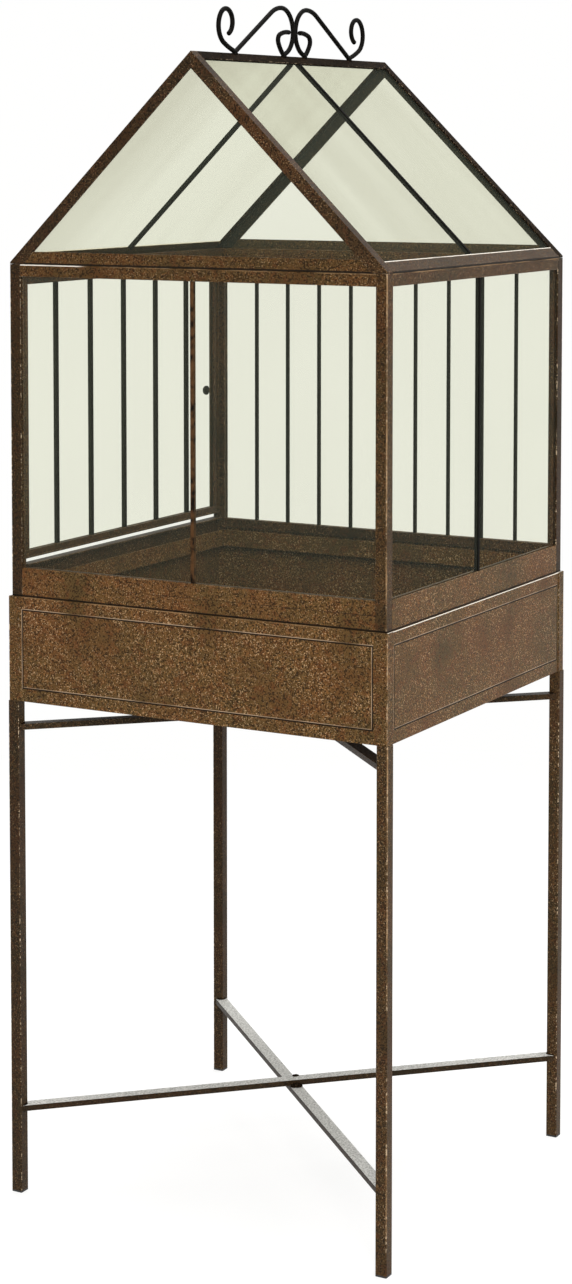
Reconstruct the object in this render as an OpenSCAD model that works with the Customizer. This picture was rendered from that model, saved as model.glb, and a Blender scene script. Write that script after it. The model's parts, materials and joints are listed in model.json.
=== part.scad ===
// A glazed herb greenhouse on a stand, with a hinged side door and a lift-off roof.
// The origin is on the floor under the middle of the stand. X runs to the right along
// the front gable, Y runs back, and Z is up. Lengths are millimetres.

/* [Stand] */
// Width of the stand over its legs
stand_w = 500; // [440:5:560]
// Depth of the stand over its legs
stand_d = 484; // [430:2:540]
// Height of the leg tops above the floor
leg_top = 592; // [450:2:700]
// Outside width of the square leg tube
leg_w = 14; // [13:0.5:16]
// Wall of the leg tube
leg_wall = 1.5; // [1:0.25:2]
// Outside corner radius of the leg tube
leg_round = 1.2; // [0.5:0.1:1.4]
// Thickness of the cap under each leg
foot_t = 2; // [1:0.5:4]
// Length of the plugs inside the tubes
plug_h = 18; // [15:1:30]
// Width of the flat cross bars
cross_w = 15; // [10:1:18]
// Thickness of the flat cross bars
cross_t = 7; // [4:0.5:9]
// Height of the joint between the two lower cross bars
low_cross_z = 98; // [60:2:200]
// Drop from the leg tops to the joint between the two upper cross bars
high_cross_drop = 28; // [20:1:60]

/* [Tray] */
// Height of the tray walls
tray_h = 124; // [90:2:160]
// Gap from the outside of the legs to the outside of the tray
tray_inset = 1; // [0.5:0.1:1.5]
// Sheet thickness of the tray
sheet_t = 1.5; // [1:0.1:1.8]
// Width of each leg of the corner angles on the tray
tray_angle_w = 14; // [10:1:16]
// Thickness of the corner angles on the tray
tray_angle_t = 1; // [0.6:0.1:1.5]
// Height of the upstand that locates the case
upstand_h = 20; // [10:1:22]
// Width of the flange under the floor
foot_flange_w = 13; // [12:0.5:16]
// Distance from the top and bottom edges to the groove in each wall
groove_edge = 15; // [10:1:20]
// Distance from the tray corners to the groove in each wall
groove_end = 18; // [17:1:24]
// Width of the groove
groove_w = 1.5; // [1:0.25:3]
// Depth of the groove
groove_depth = 0.7; // [0.3:0.1:0.8]
// Diameter of the tray screws
screw_d = 4; // [3:0.5:4.5]
// Head diameter of the tray screws
screw_head_d = 7; // [6:0.2:8]
// Length of the tray screws
screw_len = 16; // [10:1:18]
// Key size of the tray screws
screw_key = 2.5; // [2:0.5:3]
// Depth of the key recess in the tray screws
screw_key_depth = 1.6; // [1:0.1:2.4]
// Distance from the middle of each leg to its screw, towards the middle of the stand
screw_shift = 1; // [1:0.1:1.4]
// Gap between the upstand and the flange of the case
locate_gap = 1; // [0.5:0.1:2]

/* [Case] */
// Height of the case from the tray to the roof seam
case_h = 389; // [300:1:450]
// Gap from the outside of the tray to the outside of the case
case_inset = 3; // [2:0.5:4]
// Width of the angle iron of the case
angle_w = 14; // [12:0.5:16]
// Thickness of the angle iron of the case
angle_t = 2; // [1.5:0.1:2.5]
// Height of the bottom rails
bottom_rail_h = 34; // [28:1:50]
// Thickness of the glass
glass_t = 3; // [2:0.5:4]
// Width of glass hidden behind the rails
glass_lap = 8; // [6:0.5:9]
// Gap at the edges of each pane
glass_gap = 0.4; // [0.2:0.1:0.6]
// Depth of the bars and strips that hold the glass from inside
bead_t = 4; // [3:0.5:5]
// Thickness of the ledge that carries the glass
ledge_t = 4; // [2:0.5:6]
// Panes in the front wall
front_pane_count = 2; // [1:1:6]
// Panes in the right wall
right_pane_count = 2; // [1:1:6]
// Panes in the back wall
back_pane_count = 10; // [2:1:12]
// Face width of a glazing bar
bar_face = 4.2; // [3:0.2:6]
// Face width of a glazing bar in the back wall
back_bar_face = 3.2; // [2.6:0.2:5]
// Thickness of the flanges and web of a glazing bar
bar_t = 1.2; // [0.8:0.1:1.5]

/* [Door] */
// Panes in the door
door_pane_count = 6; // [2:1:9]
// Running gap at the sides and top of the door
door_gap = 1.5; // [1:0.1:2.5]
// Open gap between the sill and the door
door_foot_gap = 6; // [2:0.5:10]
// Face width of the door's frame
door_w = 9; // [8:0.5:12]
// Depth of the door frame
door_depth = 10; // [9.2:0.2:10.5]
// Depth of the beads that hold the door's glass
door_bead_t = 3; // [2:0.5:3.5]
// Length of the sill's leg behind the bottom rail
sill_leg = 26; // [15:1:26]
// Height of the door knob above the door's bottom edge
knob_rise = 162; // [60:2:250]
// Diameter of the door knob
knob_d = 12; // [9:0.5:14]
// Projection of the door knob
knob_out = 10; // [8:0.5:14]
// Length of the door knob's neck
knob_neck = 4.5; // [3:0.5:6]
// Diameter of the door knob's foot
knob_foot_d = 8; // [6:0.5:10]
// Diameter of the door knob's neck
knob_neck_d = 6; // [5:0.5:8]
// Diameter of the door knob's stud
knob_stud_d = 4; // [3:0.5:5]
// Length of the door catch
catch_w = 30; // [20:1:40]
// Height of the door catch
catch_h = 22; // [19:1:26]

/* [Hinges] */
// Height of a hinge
hinge_h = 30; // [24:1:40]
// Distance from the door's ends to the middle of each hinge
hinge_end = 72; // [40:2:110]
// Thickness of the hinge leaves
leaf_t = 1.5; // [1:0.1:2]
// Width of a hinge leaf beside the knuckles
leaf_w = 6.5; // [5:0.5:8]
// Outside diameter of the knuckles
knuckle_d = 5; // [4.4:0.2:6]
// Diameter of the hinge pins
pin_d = 2.5; // [2:0.1:3]
// Diameter of the hinge pins' heads
pin_head_d = 3.8; // [3.4:0.1:4.2]
// Height of the hinge pins' heads
pin_head_h = 1; // [0.6:0.1:2]
// Radial clearance of the hinge pins
pin_fit = 0.06; // [0.03:0.01:0.1]
// Gap between the knuckles and round the barrel
knuckle_gap = 0.3; // [0.2:0.05:0.4]

/* [Roof] */
// Height of the ridge above the roof seam
ridge_rise = 243; // [180:1:280]
// Thickness of the felt pads under the roof
pad_t = 1; // [0.5:0.1:2]
// Width of the felt pads
pad_w = 9; // [6:0.5:10]
// Width of the angle iron of the roof
roof_w = 14; // [12:0.5:16]
// Thickness of the angle iron of the roof
roof_t = 2; // [1.5:0.1:2.5]
// Height of the upright edge at the eaves
eave_nose = 1.5; // [1:0.1:2.5]
// Width of the eave rail's sloping leg
eave_w = 15; // [13:0.5:18]
// Width of each leg of the ridge angle
ridge_w = 12; // [10:0.5:16]
// Reach of the roof's bottom flange from the outside
roof_flange_w = 17; // [16:0.5:19]
// Thickness of the lip that locates the roof
lip_t = 1.5; // [1:0.1:2]
// Depth of the lip that locates the roof
lip_h = 8; // [5:0.5:12]
// Distance up the slope from the eave to the lower edge of its glass
roof_glass_start = 6.6; // [6.4:0.1:8]

/* [Scroll] */
// Diameter of the scroll rod
rod_d = 5.5; // [4:0.25:7]
// Depth of the notch where the scroll stands on the ridge
rod_seat = 0.75; // [0.4:0.05:1.2]
// Distance from the middle to each outer foot
outer_foot = 140; // [130:1:160]
// Radii of the outer curl, from its foot round to its tip
outer_radii = [6, 120, 21.4, 14.6];
// Turns of the outer curl, from its foot round to its tip
outer_turns = [15, 12, 109, 200];
// Radius where the rod rises from the outer foot
rise_radius = 6; // [5:0.5:20]
// Radius where the rod comes up to the crown
crown_radius = 50; // [40:1:60]
// Radii of the inner curl: down from the crown, in to the foot, round the foot and on to
// the tip
inner_radii = [28, 26.5, 5, 40, 7.2, 50];
// Turns of the inner curl, a quarter turn first
inner_turns = [90, 80, 50, 22, 97.5, 25];
// Gap between the two scrolls where they meet
scroll_gap = 0.2; // [0.1:0.1:1]

/* [Hidden] */
$fn = 48;

// The four walls are numbered as they are met going round from the front
front = 0;
right = 1;
back = 2;
left = 3;
WALLS = [front, right, back, left];

// Colours
rust = [0.31, 0.20, 0.14];
dark_rust = [0.20, 0.14, 0.11];
black = [0.09, 0.08, 0.08];
steel = [0.62, 0.60, 0.58];
glass = [0.85, 0.88, 0.84, 0.35];
plastic = [0.12, 0.12, 0.12];
felt = [0.16, 0.15, 0.14];

// Half sizes and levels
tray_x = stand_w / 2 - tray_inset;
tray_y = stand_d / 2 - tray_inset;
tray_top = leg_top + tray_h;
floor_top = leg_top + 2 * sheet_t;
case_x = tray_x - case_inset;
case_y = tray_y - case_inset;
case_top = tray_top + case_h;
rail_top = tray_top + bottom_rail_h;
top_rail_z = case_top - angle_w;

// The legs sit in the corners of the stand
leg_x = (stand_w - leg_w) / 2;
leg_y = (stand_d - leg_w) / 2;
bore_w = leg_w - 2 * leg_wall;
slip = 0.05;
cut = 1;
high_cross_z = leg_top - high_cross_drop;

// The screws stand clear of the tray walls, each within its leg tube
screw_x = leg_x - screw_shift;
screw_y = leg_y - screw_shift;

// The upstand stands just inside the flange of the case
rim_w = case_inset + angle_w + locate_gap + sheet_t;

// Glass lies behind the angle iron, and the beads lie behind the glass
bead_in = angle_t + glass_t;
bead_out = bead_in + bead_t;
pane_foot = rail_top - glass_lap;
pane_head = top_rail_z + glass_lap;
flange_out = bead_in + bar_t;

// The door fills the left wall between the sill and the top rail
sill_z = rail_top + angle_t;
door_z0 = sill_z + door_foot_gap;
door_z1 = top_rail_z - door_gap;
door_half = case_y - angle_w - door_gap;
door_inner = door_half - door_w;
door_lining = door_half - angle_t;

// The knob is on the back stile of the door
knob_u = door_w / 2 - door_half;
knob_z = door_z0 + knob_rise;

// The hinge axis stands in the gap between the door and the front left post
hinge_u = door_half + door_gap / 2;
hinge_n = -(knuckle_d / 2 + knuckle_gap);
hinge_z = [door_z0 + hinge_end, door_z1 - hinge_end];
knuckle_h = hinge_h / 3;

// The slope is measured from the eave's upper edge to the ridge
roof_z0 = case_top + pad_t;
eave_z = roof_z0 + eave_nose;
ridge_z = case_top + ridge_rise;
slope = atan((ridge_z - eave_z) / case_x);
slope_len = case_x / cos(slope);
roof_base = roof_z0 + roof_t;
rafter_foot = (roof_t + roof_t / cos(slope) - eave_nose) / tan(slope) + slip * 2;
roof_bead = roof_t + glass_t;
slope_glass_end = (case_x - roof_bead * sin(slope) - glass_gap) / cos(slope);
gable_glass_drop = roof_t + slip * 2;
slope_glass_y = case_y - roof_bead - glass_gap;

// The scroll's feet stand a notch deep on the ridge, and the crown is as high as the
// inner curl drops to its foot
foot_z = ridge_z + rod_d / 2 - rod_seat;
foot_share = sin(inner_turns[1]);
crown_z = foot_z + inner_radii[0] + inner_radii[1] * foot_share
    + inner_radii[2] * (1 - foot_share);
crown_y = -(rod_d + scroll_gap) / 2 - inner_radii[0];

// A box between two opposite corners
module block(from, to) {
    translate(from) cube(to - from);
}

// Wall frame: x runs along the wall to the right as seen from outside, y runs inward
// from the outer face, and z is up
module on_wall(side, half_x, half_y) {
    rotate([0, 0, 90 * side])
        translate([0, -(side % 2 == 0 ? half_y : half_x), 0])
            children();
}

// Corner frame: x and y both run inward from the corner on the given sides
module at_corner(x_side, y_side, half_x, half_y) {
    mirror([x_side > 0 ? 1 : 0, 0, 0])
        mirror([0, y_side > 0 ? 1 : 0, 0])
            translate([-half_x, -half_y, 0])
                children();
}

module at_corners(half_x, half_y) {
    for (x_side = [-1, 1])
        for (y_side = [-1, 1])
            at_corner(x_side, y_side, half_x, half_y) children();
}

// Half the clear width of a case wall between the flanges of its posts
function wall_half(side) = (side % 2 == 0 ? case_x : case_y) - angle_w;

// Square tube outline with rounded corners
module rounded_square(w, r) {
    square([w, w - 2 * r], center = true);
    square([w - 2 * r, w], center = true);
    for (sx = [-1, 1])
        for (sy = [-1, 1])
            translate([sx * (w / 2 - r), sy * (w / 2 - r)]) circle(r);
}

module leg(x_side, y_side) {
    color(rust)
        translate([x_side * leg_x, y_side * leg_y, foot_t])
            linear_extrude(leg_top - foot_t)
                difference() {
                    rounded_square(leg_w, leg_round);
                    square(bore_w, center = true);
                }
}

// Cap and plug that close the foot of each tube
module foot_caps() {
    color(plastic)
        for (sx = [-1, 1])
            for (sy = [-1, 1])
                translate([sx * leg_x, sy * leg_y, 0]) {
                    linear_extrude(foot_t) rounded_square(leg_w, leg_round);
                    linear_extrude(foot_t + plug_h) square(bore_w - 2 * slip, center = true);
                }
}

// Plugs in the tube tops, bored for the tray screws
module leg_top_plugs() {
    color(plastic)
        difference() {
            for (sx = [-1, 1])
                for (sy = [-1, 1])
                    translate([sx * leg_x, sy * leg_y, leg_top - plug_h])
                        linear_extrude(plug_h) square(bore_w - 2 * slip, center = true);
            screw_holes();
        }
}

module screw_holes() {
    for (sx = [-1, 1])
        for (sy = [-1, 1])
            translate([sx * screw_x, sy * screw_y, leg_top - plug_h - cut])
                cylinder(d = screw_d + 2 * slip, h = plug_h + 2 * sheet_t + 2 * cut);
}

// Countersunk screws with a hexagon key recess, flush with the tray floor
module tray_screws() {
    color(steel)
        for (sx = [-1, 1])
            for (sy = [-1, 1])
                translate([sx * screw_x, sy * screw_y, floor_top])
                    difference() {
                        rotate_extrude() polygon([
                            [0, -screw_len], [screw_d / 2, -screw_len],
                            [screw_d / 2, -sheet_t], [screw_head_d / 2, 0], [0, 0]
                        ]);
                        translate([0, 0, -screw_key_depth])
                            cylinder(d = screw_key / cos(30), h = screw_key_depth + cut, $fn = 6);
                    }
}

// Countersinks for the screws in the tray floor
module screw_seats() {
    for (sx = [-1, 1])
        for (sy = [-1, 1])
            translate([sx * screw_x, sy * screw_y, floor_top - sheet_t])
                cylinder(d1 = screw_d + 2 * slip, d2 = screw_head_d + 2 * slip, h = sheet_t);
}

// A flat bar from corner to corner, notched to seat on the inner corners of two legs
module cross_bar(from_side, z) {
    bar_angle = atan2(leg_y, leg_x);
    reach = norm([leg_x, leg_y]);
    color(rust)
        difference() {
            rotate([0, 0, -from_side * bar_angle])
                block([-reach, -cross_w / 2, z], [reach, cross_w / 2, z + cross_t]);
            for (s = [-1, 1])
                translate([s * leg_x, -s * from_side * leg_y, z - cut])
                    linear_extrude(cross_t + 2 * cut) rounded_square(leg_w, leg_round);
        }
}

// Folded tray wall: panel, top flange with its upstand, and bottom flange. The front and
// back walls own the corners, and the side walls fit between them.
module tray_wall(side) {
    long = side % 2 == 0;
    half = long ? tray_x : tray_y;
    outer = tray_angle_t;
    inner = outer + sheet_t;
    rim = outer + rim_w;
    panel_half = half - (long ? outer : inner);
    rim_half = half - (long ? inner : rim);
    foot_half = half - (long ? inner : outer + foot_flange_w);
    upstand_half = half - (long ? rim - sheet_t : rim);
    color(rust)
        on_wall(side, tray_x, tray_y)
            difference() {
                union() {
                    block([-panel_half, outer, leg_top], [panel_half, inner, tray_top]);
                    block([-rim_half, outer, tray_top - sheet_t], [rim_half, rim, tray_top]);
                    block([-upstand_half, rim - sheet_t, tray_top - sheet_t],
                          [upstand_half, rim, tray_top + upstand_h]);
                    block([-foot_half, outer, leg_top],
                          [foot_half, outer + foot_flange_w, leg_top + sheet_t]);
                }
                wall_groove(half - groove_end, outer);
                wall_screw_holes(side);
            }
}

// A shallow rectangular groove pressed into the face of a tray wall
module wall_groove(half, face) {
    z0 = leg_top + groove_edge;
    z1 = tray_top - groove_edge;
    difference() {
        block([-half, face - cut, z0], [half, face + groove_depth, z1]);
        block([-half + groove_w, face - 2 * cut, z0 + groove_w],
              [half - groove_w, face + 2 * cut, z1 - groove_w]);
    }
}

// Clearance for the tray screws, in the frame of a tray wall
module wall_screw_holes(side) {
    u = side % 2 == 0 ? screw_x : screw_y;
    n = side % 2 == 0 ? tray_y - screw_y : tray_x - screw_x;
    for (s = [-1, 1])
        translate([s * u, n, leg_top - cut])
            cylinder(d = screw_d + 2 * slip, h = sheet_t + 2 * cut);
}

module tray_floor() {
    inner = tray_angle_t + sheet_t;
    color(rust)
        difference() {
            block([-tray_x + inner, -tray_y + inner, leg_top + sheet_t],
                  [tray_x - inner, tray_y - inner, floor_top]);
            screw_seats();
        }
}

module tray_corner_angles() {
    color(dark_rust)
        at_corners(tray_x, tray_y) {
            block([0, 0, leg_top], [tray_angle_w, tray_angle_t, tray_top]);
            block([0, 0, leg_top], [tray_angle_t, tray_angle_w, tray_top]);
        }
}

module post(x_side, y_side) {
    color(rust)
        at_corner(x_side, y_side, case_x, case_y) {
            block([0, 0, tray_top], [angle_w, angle_t, case_top]);
            block([0, 0, tray_top], [angle_t, angle_w, case_top]);
        }
}

// Half length of a rail's flange: the front and back flanges own the corners
function flange_half(side) = wall_half(side) + (side % 2 == 0 ? angle_w - angle_t : 0);

module bottom_rail(side) {
    color(rust)
        on_wall(side, case_x, case_y) {
            block([-wall_half(side), 0, tray_top], [wall_half(side), angle_t, rail_top]);
            block([-flange_half(side), angle_t, tray_top],
                  [flange_half(side), angle_w, tray_top + angle_t]);
        }
}

module top_rail(side) {
    color(rust)
        on_wall(side, case_x, case_y) {
            block([-wall_half(side), 0, top_rail_z], [wall_half(side), angle_t, case_top]);
            block([-flange_half(side), angle_t, case_top - angle_t],
                  [flange_half(side), angle_w, case_top]);
        }
}

// Square bars in the corners, with a wing behind the glass of each fixed wall
module glazing_corner_bars() {
    z0 = tray_top + angle_t;
    z1 = case_top - angle_t;
    color(dark_rust)
        for (x_side = [-1, 1])
            for (y_side = [-1, 1])
                at_corner(x_side, y_side, case_x, case_y) {
                    block([angle_t, angle_t, z0], [bead_out, bead_out, z1]);
                    block([bead_out, bead_in, z0], [angle_w, bead_out, z1]);
                    if (x_side > 0) block([bead_in, bead_out, z0], [bead_out, angle_w, z1]);
                }
}

// The ledge under the glass and the strip above it, on the three fixed walls
module glazing_strips() {
    color(dark_rust)
        for (side = [front, right, back])
            on_wall(side, case_x, case_y) {
                half = wall_half(side);
                block([-half, angle_t, pane_foot - ledge_t], [half, bead_out, pane_foot]);
                block([-half, bead_in, pane_foot], [half, bead_out, rail_top]);
                block([-half, bead_in, top_rail_z], [half, bead_out, case_top - angle_t]);
            }
}

// Upright panes side by side. open is half the clear width that the bars divide, and
// edge is half the width over the outer panes.
module pane_row(count, open, edge, z0, z1) {
    step = 2 * open / count;
    gap = bar_t / 2 + glass_gap;
    color(glass)
        for (i = [0 : count - 1]) {
            u0 = i == 0 ? -edge : -open + i * step + gap;
            u1 = i == count - 1 ? edge : -open + (i + 1) * step - gap;
            block([u0, angle_t, z0], [u1, bead_in, z1]);
        }
}

// H-shaped bars between the panes
module bar_row(count, open, face, z0, z1) {
    step = 2 * open / count;
    color(black)
        if (count > 1)
            for (i = [1 : count - 1])
                translate([-open + i * step, 0, 0]) glazing_bar(face, z0, z1);
}

module glazing_bar(face, z0, z1) {
    block([-face / 2, angle_t - bar_t, z0], [face / 2, angle_t, z1]);
    block([-bar_t / 2, angle_t, z0], [bar_t / 2, bead_in, z1]);
    block([-face / 2, bead_in, z0], [face / 2, flange_out, z1]);
}

module wall_panes(side, count) {
    edge = wall_half(side) + angle_w - bead_out - glass_gap;
    on_wall(side, case_x, case_y)
        pane_row(count, wall_half(side), edge, pane_foot, pane_head);
}

module wall_bars(side, count, face) {
    on_wall(side, case_x, case_y)
        bar_row(count, wall_half(side), face, rail_top, top_rail_z);
}

// Ledge angle on the bottom rail, under the door
module door_sill() {
    half = wall_half(left);
    color(dark_rust)
        on_wall(left, case_x, case_y) {
            block([-half, 0, sill_z - angle_t], [half, angle_w, sill_z]);
            block([-half, angle_t, sill_z - sill_leg], [half, 2 * angle_t, sill_z]);
        }
}

// Magnetic catch under the top flange, which also stops the door
module door_catch() {
    u = angle_w - door_inner;
    color(black)
        on_wall(left, case_x, case_y)
            block([u - catch_w / 2, door_depth + knuckle_gap, case_top - angle_t - catch_h],
                  [u + catch_w / 2, angle_w, case_top - angle_t]);
}

module door_stiles() {
    color(rust)
        on_wall(left, case_x, case_y)
            difference() {
                for (s = [0, 1])
                    mirror([s, 0, 0]) {
                        block([door_inner, 0, door_z0], [door_half, angle_t, door_z1]);
                        block([door_lining, angle_t, door_z0], [door_half, door_depth, door_z1]);
                    }
                translate([knob_u, -cut, knob_z])
                    rotate([-90, 0, 0]) cylinder(d = knob_stud_d + 2 * slip, h = angle_t + 2 * cut);
            }
}

module door_rails() {
    color(rust)
        on_wall(left, case_x, case_y) {
            door_rail(door_z0, 1);
            door_rail(door_z1, -1);
        }
}

// A rail whose outer edge is at height z. up is 1 where the rail lies above that edge.
module door_rail(z, up) {
    translate([0, 0, z])
        mirror([0, 0, up > 0 ? 0 : 1]) {
            block([-door_inner, 0, 0], [door_inner, angle_t, door_w]);
            block([-door_lining, angle_t, 0], [door_lining, door_depth, angle_t]);
        }
}

module door_panes() {
    on_wall(left, case_x, case_y)
        pane_row(door_pane_count, wall_half(left), door_lining - glass_gap,
                 door_z0 + angle_t + glass_gap, door_z1 - angle_t - glass_gap);
}

module door_bars() {
    on_wall(left, case_x, case_y)
        bar_row(door_pane_count, wall_half(left), bar_face,
                door_z0 + door_w, door_z1 - door_w);
}

// Flat beads round the inside of the door's glass
module door_beads() {
    n = bead_in + door_bead_t;
    color(dark_rust)
        on_wall(left, case_x, case_y) {
            for (s = [0, 1])
                mirror([s, 0, 0])
                    block([door_inner, bead_in, door_z0 + door_w + slip],
                          [door_lining, n, door_z1 - door_w - slip]);
            block([-door_lining, bead_in, door_z0 + angle_t], [door_lining, n, door_z0 + door_w]);
            block([-door_lining, bead_in, door_z1 - door_w], [door_lining, n, door_z1 - angle_t]);
        }
}

// Turned knob with a stud through the door's back stile
module door_knob() {
    face = knob_out - knob_neck;
    color(black)
        on_wall(left, case_x, case_y)
            translate([knob_u, 0, knob_z])
                rotate([90, 0, 0]) {
                    translate([0, 0, -angle_t]) cylinder(d = knob_stud_d, h = angle_t + cut);
                    rotate_extrude() polygon([
                        [0, 0], [knob_foot_d / 2, 0], [knob_neck_d / 2, knob_neck / 2],
                        [knob_neck_d / 2, knob_neck], [knob_d / 2, knob_neck + face / 4],
                        [knob_d / 2, knob_out - face / 3], [knob_d / 2 - face / 4, knob_out],
                        [0, knob_out]
                    ]);
                }
}

// One half of each hinge. way is 1 for the leaf on the door and -1 for the one on the post.
module hinge_leaves(way, first, last) {
    reach = knuckle_d / 2 + knuckle_gap;
    color(dark_rust)
        on_wall(left, case_x, case_y)
            for (z = hinge_z)
                translate([hinge_u, hinge_n, z - hinge_h / 2])
                    mirror([way > 0 ? 1 : 0, 0, 0])
                        difference() {
                            union() {
                                block([reach, -hinge_n - leaf_t, 0],
                                      [reach + leaf_w, -hinge_n, hinge_h]);
                                for (i = [first : 2 : last]) knuckle(i, reach);
                            }
                            translate([0, 0, -cut])
                                cylinder(d = pin_d + 2 * pin_fit, h = hinge_h + 2 * cut);
                        }
}

module knuckle(i, reach) {
    z0 = i * knuckle_h + (i == 0 ? 0 : knuckle_gap / 2);
    z1 = (i + 1) * knuckle_h - (i == 2 ? 0 : knuckle_gap / 2);
    translate([0, 0, z0]) cylinder(d = knuckle_d, h = z1 - z0);
    block([door_gap / 2, -hinge_n - leaf_t, z0], [reach, -hinge_n, z1]);
}

// Pins with a small head at each end of the barrel
module hinge_pins() {
    color(steel)
        on_wall(left, case_x, case_y)
            for (z = hinge_z)
                translate([hinge_u, hinge_n, z - hinge_h / 2]) {
                    cylinder(d = pin_d, h = hinge_h);
                    translate([0, 0, hinge_h]) cylinder(d = pin_head_d, h = pin_head_h);
                    translate([0, 0, -pin_head_h]) cylinder(d = pin_head_d, h = pin_head_h);
                }
}

// Slope frame of the left slope: x runs up the slope from the eave, z points out of the
// roof. The right slope is its mirror image.
module on_slope(x_side) {
    mirror([x_side > 0 ? 1 : 0, 0, 0])
        translate([-case_x, 0, eave_z])
            rotate([0, -slope, 0])
                children();
}

// Angle iron rafters along the edges of a gable, mitred at the ridge
module rafters(y_side) {
    end = slope_len + roof_w;
    color(dark_rust)
        for (x_side = [-1, 1])
            intersection() {
                mirror([0, y_side > 0 ? 1 : 0, 0])
                    on_slope(x_side) {
                        block([-roof_w, -case_y, -roof_w], [end, roof_t - case_y, 0]);
                        block([-roof_w, -case_y, -roof_t], [end, roof_w - case_y, 0]);
                    }
                roof_half(x_side, slip);
            }
}

// The space over one half of the case, above the foot of the roof
module roof_half(x_side, gap = 0) {
    mirror([x_side > 0 ? 1 : 0, 0, 0])
        block([-case_x, -stand_d, roof_z0], [-gap, stand_d, 2 * ridge_z]);
}

// Horizontal rails under the gables, with a flange over the case and a locating lip
module gable_rails() {
    drop = roof_w / cos(slope);
    low = (drop - eave_nose) / tan(slope);
    high = (drop - eave_nose + roof_w) / tan(slope);
    flange_x = case_x - rafter_foot;
    lip_x = case_x - roof_flange_w + lip_t;
    color(rust)
        for (s = [0, 1])
            mirror([0, s, 0])
                translate([0, -case_y, 0]) {
                    translate([0, roof_t, 0])
                        rotate([90, 0, 0])
                            linear_extrude(roof_t) polygon([
                                [low - case_x, roof_z0], [case_x - low, roof_z0],
                                [case_x - high, roof_z0 + roof_w], [high - case_x, roof_z0 + roof_w]
                            ]);
                    block([-flange_x, roof_t, roof_z0], [flange_x, roof_flange_w, roof_base]);
                    block([-lip_x, roof_flange_w - lip_t, roof_z0 - lip_h],
                          [lip_x, roof_flange_w, roof_base]);
                }
}

// Folded rail along an eave: a leg in the plane of the slope, a flange and a locating lip
module eave_rail(x_side) {
    leg_half = case_y - roof_w;
    flange_half = case_y - roof_flange_w;
    color(rust) {
        intersection() {
            on_slope(x_side)
                block([-roof_w, -leg_half, -roof_t], [eave_w, leg_half, 0]);
            roof_half(x_side);
        }
        mirror([x_side > 0 ? 1 : 0, 0, 0])
            translate([-case_x, 0, 0]) {
                block([rafter_foot - roof_t, -flange_half, roof_z0],
                      [roof_flange_w, flange_half, roof_base]);
                block([roof_flange_w - lip_t, -flange_half, roof_z0 - lip_h],
                      [roof_flange_w, flange_half, roof_base]);
            }
    }
}

module ridge_cap() {
    half = case_y - roof_w;
    color(dark_rust)
        for (x_side = [-1, 1])
            intersection() {
                on_slope(x_side)
                    block([slope_len - ridge_w, -half, -roof_t], [slope_len + roof_w, half, 0]);
                roof_half(x_side);
            }
}

module slope_panes(x_side) {
    gap = bar_t / 2 + glass_gap;
    color(glass)
        on_slope(x_side)
            for (s = [0, 1])
                mirror([0, s, 0])
                    block([roof_glass_start, gap, -roof_bead],
                          [slope_glass_end, slope_glass_y, -roof_t]);
}

module slope_bars() {
    x0 = eave_w;
    x1 = slope_len - ridge_w;
    color(black)
        for (x_side = [-1, 1])
            on_slope(x_side) {
                block([x0, -bar_face / 2, -roof_t], [x1, bar_face / 2, bar_t - roof_t]);
                block([x0, -bar_t / 2, -roof_bead], [x1, bar_t / 2, -roof_t]);
                block([x0, -bar_face / 2, -roof_bead - bar_t], [x1, bar_face / 2, -roof_bead]);
            }
}

module gable_panes() {
    foot = roof_base + glass_gap;
    drop = gable_glass_drop / cos(slope);
    half = case_x - (foot - eave_z + drop) / tan(slope);
    color(glass)
        for (s = [0, 1])
            mirror([0, s, 0])
                translate([0, roof_bead + slip - case_y, 0])
                    rotate([90, 0, 0])
                        linear_extrude(glass_t)
                            polygon([[-half, foot], [half, foot], [0, ridge_z - drop]]);
}

module roof_pads() {
    color(felt)
        at_corners(case_x, case_y)
            block([angle_w - pad_w, angle_w - pad_w, case_top], [angle_w, angle_w, roof_z0]);
}

// A curl is a chain of arcs in the upright plane, each starting where the last one ends.
// Points are [y, z], headings are degrees from y, and side is 1 to turn left.
function arc_centre(p, heading, r, side) =
    p + r * side * [-sin(heading), cos(heading)];
function arc_end(p, heading, r, turn, side) =
    arc_centre(p, heading, r, side)
    + r * side * [sin(heading + side * turn), -cos(heading + side * turn)];

module rod_arc(p, heading, r, turn, side) {
    c = arc_centre(p, heading, r, side);
    translate([0, c[0], c[1]])
        rotate([90, 0, 90])
            rotate([0, 0, heading - side * 90])
                mirror([0, side > 0 ? 0 : 1, 0])
                    rotate_extrude(angle = turn) translate([r, 0]) circle(d = rod_d);
}

// A ball where two stretches of rod are welded, its poles inside them
module rod_joint(p, heading) {
    translate([0, p[0], p[1]])
        rotate([heading - 90, 0, 0])
            sphere(d = rod_d + 2 * slip);
}

module curl(p, heading, radii, turns, side, i = 0) {
    rod_joint(p, heading);
    rod_arc(p, heading, radii[i], turns[i], side);
    if (i + 1 < len(radii))
        curl(arc_end(p, heading, radii[i], turns[i], side),
             heading + side * turns[i], radii, turns, side, i + 1);
}

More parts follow.
